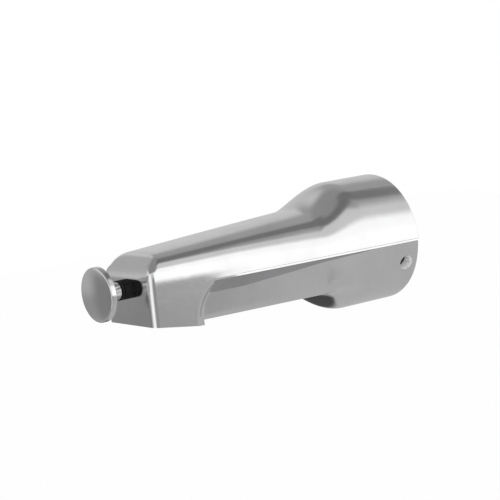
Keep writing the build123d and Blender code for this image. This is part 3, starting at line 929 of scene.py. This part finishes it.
def finish(name, colours, rough, metallic, marks, cloud_size, edge_width, edge_rough, specular=0.5):
    """Material with cloudy colour, worn edges, and the bump and roughness of its marks.

    colours are its dark, light and worn ones, and rough is its roughness where light and where dark.
    Each of the marks is (group, output, input values, depth in metres, roughness swing).
    """
    material = bpy.data.materials.new(name)
    material.use_nodes = True
    tree = material.node_tree
    shader = tree.nodes["Principled BSDF"]
    shader.inputs["Metallic"].default_value = metallic
    shader.inputs["Specular IOR Level"].default_value = specular
    dark, light, worn_colour = colours
    clouded = place_group(tree, cloud, Size=cloud_size, Contrast=1.8).outputs["Cloud"]
    edge = place_group(tree, worn_edge, Width=edge_width).outputs["Edge"]
    body_colour = blend_colour(tree, clouded, dark, light)
    tree.links.new(blend_colour(tree, edge, body_colour, worn_colour), shader.inputs["Base Color"])
    roughness = spread(tree, clouded, rough[1], rough[0])
    heights = []
    for group, output, values, depth, swing in marks:
        mark = place_group(tree, group, **values).outputs[output]
        if swing:
            roughness = add_math(tree, "ADD", roughness, spread(tree, mark, -swing, swing))
        if depth:
            heights.append((mark, depth))
    worn = tree.nodes.new("ShaderNodeMix")
    tree.links.new(edge, worn.inputs["Factor"])
    tree.links.new(roughness, worn.inputs["A"])
    worn.inputs["B"].default_value = edge_rough
    tree.links.new(worn.outputs["Result"], shader.inputs["Roughness"])
    raise_surface(tree, shader, heights)
    return material


chrome_colours = ((0.66, 0.66, 0.665), (0.73, 0.73, 0.735), (0.80, 0.80, 0.80))
satin_chrome = finish(
    "satin_chrome", chrome_colours, rough=(0.10, 0.14), metallic=1.0,
    marks=[
        (cloud, "Cloud", dict(Size=70.0, Contrast=1.0), 0.00006, 0.0),
        (polishing_lines, "Lines", dict(Fineness=1500.0, Stretch=0.03), 0.0000025, 0.03),
    ],
    cloud_size=55.0, edge_width=0.0003, edge_rough=0.10,
)
turned_chrome = finish(
    "turned_chrome", chrome_colours, rough=(0.10, 0.14), metallic=1.0,
    marks=[(turning_rings, "Rings", dict(Fineness=1800.0), 0.000002, 0.03)],
    cloud_size=60.0, edge_width=0.0003, edge_rough=0.10,
)
# Cove finish: rougher chrome whose darker colour is painted shade under the lip's overhang
rough_chrome_painted_shade = finish(
    "rough_chrome_painted_shade", ((0.40, 0.40, 0.41), (0.50, 0.50, 0.51), (0.60, 0.60, 0.60)),
    rough=(0.26, 0.34), metallic=1.0,
    marks=[
        (skin_grain, "Grain", dict(Fineness=1600.0, Pits=0.2), 0.000012, 0.05),
        (polishing_lines, "Lines", dict(Fineness=900.0, Stretch=0.05), 0.000004, 0.03),
    ],
    cloud_size=60.0, edge_width=0.0003, edge_rough=0.18,
)
inside_plating = finish(
    "inside_plating", ((0.30, 0.30, 0.31), (0.44, 0.44, 0.45), (0.50, 0.50, 0.50)),
    rough=(0.38, 0.5), metallic=1.0,
    marks=[
        (skin_grain, "Grain", dict(Fineness=900.0, Pits=0.5), 0.00006, 0.06),
        (skin_grain, "Pit", dict(Fineness=1300.0, Pits=0.6), -0.00003, 0.0),
    ],
    cloud_size=70.0, edge_width=0.0004, edge_rough=0.3,
)
thin_plating = finish(
    "thin_plating", ((0.86, 0.86, 0.87), (0.94, 0.94, 0.95), (0.95, 0.95, 0.95)),
    rough=(0.28, 0.38), metallic=0.1,
    marks=[(skin_grain, "Grain", dict(Fineness=1500.0, Pits=0.2), 0.00001, 0.05)],
    cloud_size=120.0, edge_width=0.0003, edge_rough=0.2,
)
black_bushing = finish(
    "black_bushing", ((0.008, 0.008, 0.009), (0.016, 0.016, 0.017), (0.035, 0.035, 0.035)),
    rough=(0.5, 0.62), metallic=0.0,
    marks=[(skin_grain, "Grain", dict(Fineness=4000.0, Pits=0.1), 0.000008, 0.05)],
    cloud_size=300.0, edge_width=0.00015, edge_rough=0.5, specular=0.2,
)
seal_rubber = finish(
    "seal_rubber", ((0.018, 0.018, 0.018), (0.034, 0.034, 0.033), (0.06, 0.06, 0.06)),
    rough=(0.55, 0.7), metallic=0.0,
    marks=[(skin_grain, "Grain", dict(Fineness=3000.0, Pits=0.3), 0.00002, 0.06)],
    cloud_size=220.0, edge_width=0.0002, edge_rough=0.75,
)
turned_brass = finish(
    "turned_brass", ((0.52, 0.36, 0.13), (0.68, 0.49, 0.20), (0.80, 0.62, 0.30)),
    rough=(0.22, 0.34), metallic=1.0,
    marks=[(turning_rings, "Rings", dict(Fineness=1600.0), 0.000012, 0.06)],
    cloud_size=90.0, edge_width=0.0003, edge_rough=0.18,
)
drawn_stainless = finish(
    "drawn_stainless", ((0.50, 0.50, 0.505), (0.62, 0.62, 0.62), (0.72, 0.72, 0.72)),
    rough=(0.2, 0.3), metallic=1.0,
    marks=[(polishing_lines, "Lines", dict(Fineness=2500.0, Stretch=0.3), 0.000004, 0.05)],
    cloud_size=200.0, edge_width=0.0001, edge_rough=0.15,
)
black_oxide = finish(
    "black_oxide", ((0.030, 0.030, 0.034), (0.060, 0.060, 0.066), (0.42, 0.42, 0.42)),
    rough=(0.3, 0.42), metallic=0.9,
    marks=[(skin_grain, "Grain", dict(Fineness=3500.0, Pits=0.2), 0.00001, 0.06)],
    cloud_size=300.0, edge_width=0.0002, edge_rough=0.25,
)


def dress(piece, material):
    """Gives a piece or a CAD node one finish."""
    piece.data.materials.clear()
    piece.data.materials.append(material)


def dress_casting():
    """Gives each face group of the casting its finish."""
    finishes = (satin_chrome, rough_chrome_painted_shade, inside_plating, thin_plating)
    finish_of_group = np.zeros(GROUP_COUNT, np.int32)
    # The cove gets the rough chrome with painted shade under the lip
    finish_of_group[[COVE, INSIDE, MOUTH]] = (1, 2, 3)
    face_groups = read_all(casting.data.polygons, "material_index", kind=np.int32)
    casting.data.materials.clear()
    for material in finishes:
        casting.data.materials.append(material)
    casting.data.polygons.foreach_set("material_index", finish_of_group[face_groups])


dress_casting()
dress(knob, turned_chrome)
dress(guide, black_bushing)
for node in (
    "guide_nut", "diverter_stem", "valve_seat", "washer_cup", "stem_nut", "pipe_adapter", "waterway_tube"
):
    dress(nodes[node], turned_brass)
for node in ("valve_washer", "pipe_o_ring_inner", "pipe_o_ring_outer", "tube_seal"):
    dress(nodes[node], seal_rubber)
for node in ("spring_washer", "e_clip"):
    dress(nodes[node], drawn_stainless)
dress(spring, drawn_stainless)
dress(nodes["set_screw"], black_oxide)
for material in group_materials:
    bpy.data.materials.remove(material)

# Pale floor, low enough that the views from below are taken above it
floor_reach = 6.0
floor_height = -0.9
floor_plan = ((-1, -1), (1, -1), (1, 1), (-1, 1))
floor_corners = [(x * floor_reach, y * floor_reach, floor_height) for x, y in floor_plan]
floor_mesh = bpy.data.meshes.new("floor")
floor_mesh.from_pydata(floor_corners, [], [(0, 1, 2, 3)])
floor = add_object("floor", floor_mesh)
pale_floor = bpy.data.materials.new("pale_floor")
pale_floor.use_nodes = True
floor_shader = pale_floor.node_tree.nodes["Principled BSDF"]
floor_shader.inputs["Base Color"].default_value = (0.99, 0.99, 0.99, 1)
floor_shader.inputs["Roughness"].default_value = 1.0
floor_shader.inputs["Specular IOR Level"].default_value = 0.0
floor_mesh.materials.append(pale_floor)
floor.visible_glossy = False

# Studio tent that only the gloss sees. Each panel is a soft-edged stretch of its wall, laid over the
# ones before it: (from azimuth, to azimuth, from elevation, to elevation, side softness, top and
# bottom softness, brightness). Azimuth 0 is in front of the nose, 90 is on the side with the set
# screw and 180 is behind the wall.
tent_radius = 3.0
tent_panels = [
    (-210, -100, -12, 62, 25, 14, 0.66),
    (-200, -110, 34, 62, 25, 16, 0.42),
    (-100, -52, -14, 60, 14, 12, 0.52),
    (99, 196, 28, 54, 8, 10, 0.78),
    (134, 196, -7, 30, 8, 10, 0.95),
    (136, 196, 46, 62, 8, 10, 0.42),
    (-220, 240, 56, 100, 1, 14, 0.34),
    (108, 196, 58, 74, 14, 8, 0.21),
    (162, 196, 48, 72, 12, 8, 0.22),
    (-56, 106, 34, 76, 24, 12, 0.33),
    (-220, 240, -100, -7, 1, 2, 0.55),
    (-100, 10, -70, -14, 20, 6, 0.47),
    (60, 114, -70, -7, 8, 2, 0.38),
    (-90, -40, -17, -8, 20, 6, 0.36),
    (-56, -8, -18, 2, 12, 8, 0.27),
    (-10, 16, -40, 22, 16, 10, 0.55),
    (10, 46, -40, 26, 8, 10, 1.25),
    (58, 97, -40, 6, 8, 10, 0.36),
    (58, 97, 2, 34, 8, 10, 0.78),
    (-126, -74, -85, -20, 10, 10, 0.08),
    (99, 137, -4.5, 20, 4, 1.5, 1.45),
    (99, 137, 14, 30, 6, 12, 1.35),
]


def tent_levels(points):
    """Brightness of the tent at each of its points."""
    azimuth = np.degrees(np.arctan2(points[:, 0], -points[:, 1]))
    elevation = np.degrees(np.arcsin(np.clip(points[:, 2] / tent_radius, -1, 1)))
    levels = np.ones(len(points))
    for start, end, low, high, side_soft, end_soft, brightness in tent_panels:
        inside = np.zeros(len(points))
        for turn in (-360, 0, 360):
            beyond_start = (azimuth + turn - start) / side_soft + 0.5
            before_end = (end - azimuth - turn) / side_soft + 0.5
            inside = np.maximum(inside, eased(beyond_start) * eased(before_end))
        inside *= eased((elevation - low) / end_soft + 0.5) * eased((high - elevation) / end_soft + 0.5)
        levels += (brightness - levels) * inside
    return levels


tent_mesh = bpy.data.meshes.new("tent")
shaped = bmesh.new()
bmesh.ops.create_uvsphere(shaped, u_segments=240, v_segments=120, radius=tent_radius)
shaped.to_mesh(tent_mesh)
shaped.free()
level = tent_mesh.attributes.new("level", "FLOAT", "POINT")
level.data.foreach_set("value", tent_levels(read_all(tent_mesh.vertices, "co", 3)).astype(np.float32))
tent = add_object("tent", tent_mesh)
tent_cloth = bpy.data.materials.new("tent_cloth")
tent_cloth.use_nodes = True
tree = tent_cloth.node_tree
tree.nodes.clear()
painted = tree.nodes.new("ShaderNodeAttribute")
painted.attribute_name = "level"
glow = tree.nodes.new("ShaderNodeEmission")
surface_out = tree.nodes.new("ShaderNodeOutputMaterial")
tree.links.new(painted.outputs["Fac"], glow.inputs["Strength"])
tree.links.new(glow.outputs[0], surface_out.inputs["Surface"])
tent_mesh.materials.append(tent_cloth)
tent.visible_camera = False
tent.visible_diffuse = False
tent.visible_shadow = False
tent.visible_transmission = False

world = bpy.data.worlds.new("studio")
world.use_nodes = True
world.node_tree.nodes["Background"].inputs["Color"].default_value = (1, 1, 1, 1)
world.node_tree.nodes["Background"].inputs["Strength"].default_value = 1.0
bpy.context.scene.world = world

# Camera at the photograph's viewing angle
camera_azimuth = math.radians(52.297)
camera_elevation = math.radians(7.698)
camera_roll = math.radians(-5.802)
camera_place = (0.6079, -0.5521, 0.1099)
level_reach = math.cos(camera_elevation)
back = Vector((
    math.sin(camera_azimuth) * level_reach,
    -math.cos(camera_azimuth) * level_reach,
    math.sin(camera_elevation),
))
right = (-back).cross(Vector((0, 0, 1))).normalized()
up = right.cross(-back)
rolled_right = right * math.cos(camera_roll) + up * math.sin(camera_roll)
rolled_up = -right * math.sin(camera_roll) + up * math.cos(camera_roll)
camera_data = bpy.data.cameras.new("camera")
camera_data.sensor_width = 36
camera_data.lens = 115.2
camera_data.clip_start = 0.01
camera = add_object("camera", camera_data)
pose = Matrix((rolled_right, rolled_up, back)).transposed().to_4x4()
pose.translation = camera_place
camera.matrix_world = pose
bpy.context.scene.camera = camera
bpy.context.scene.view_settings.view_transform = "Standard"
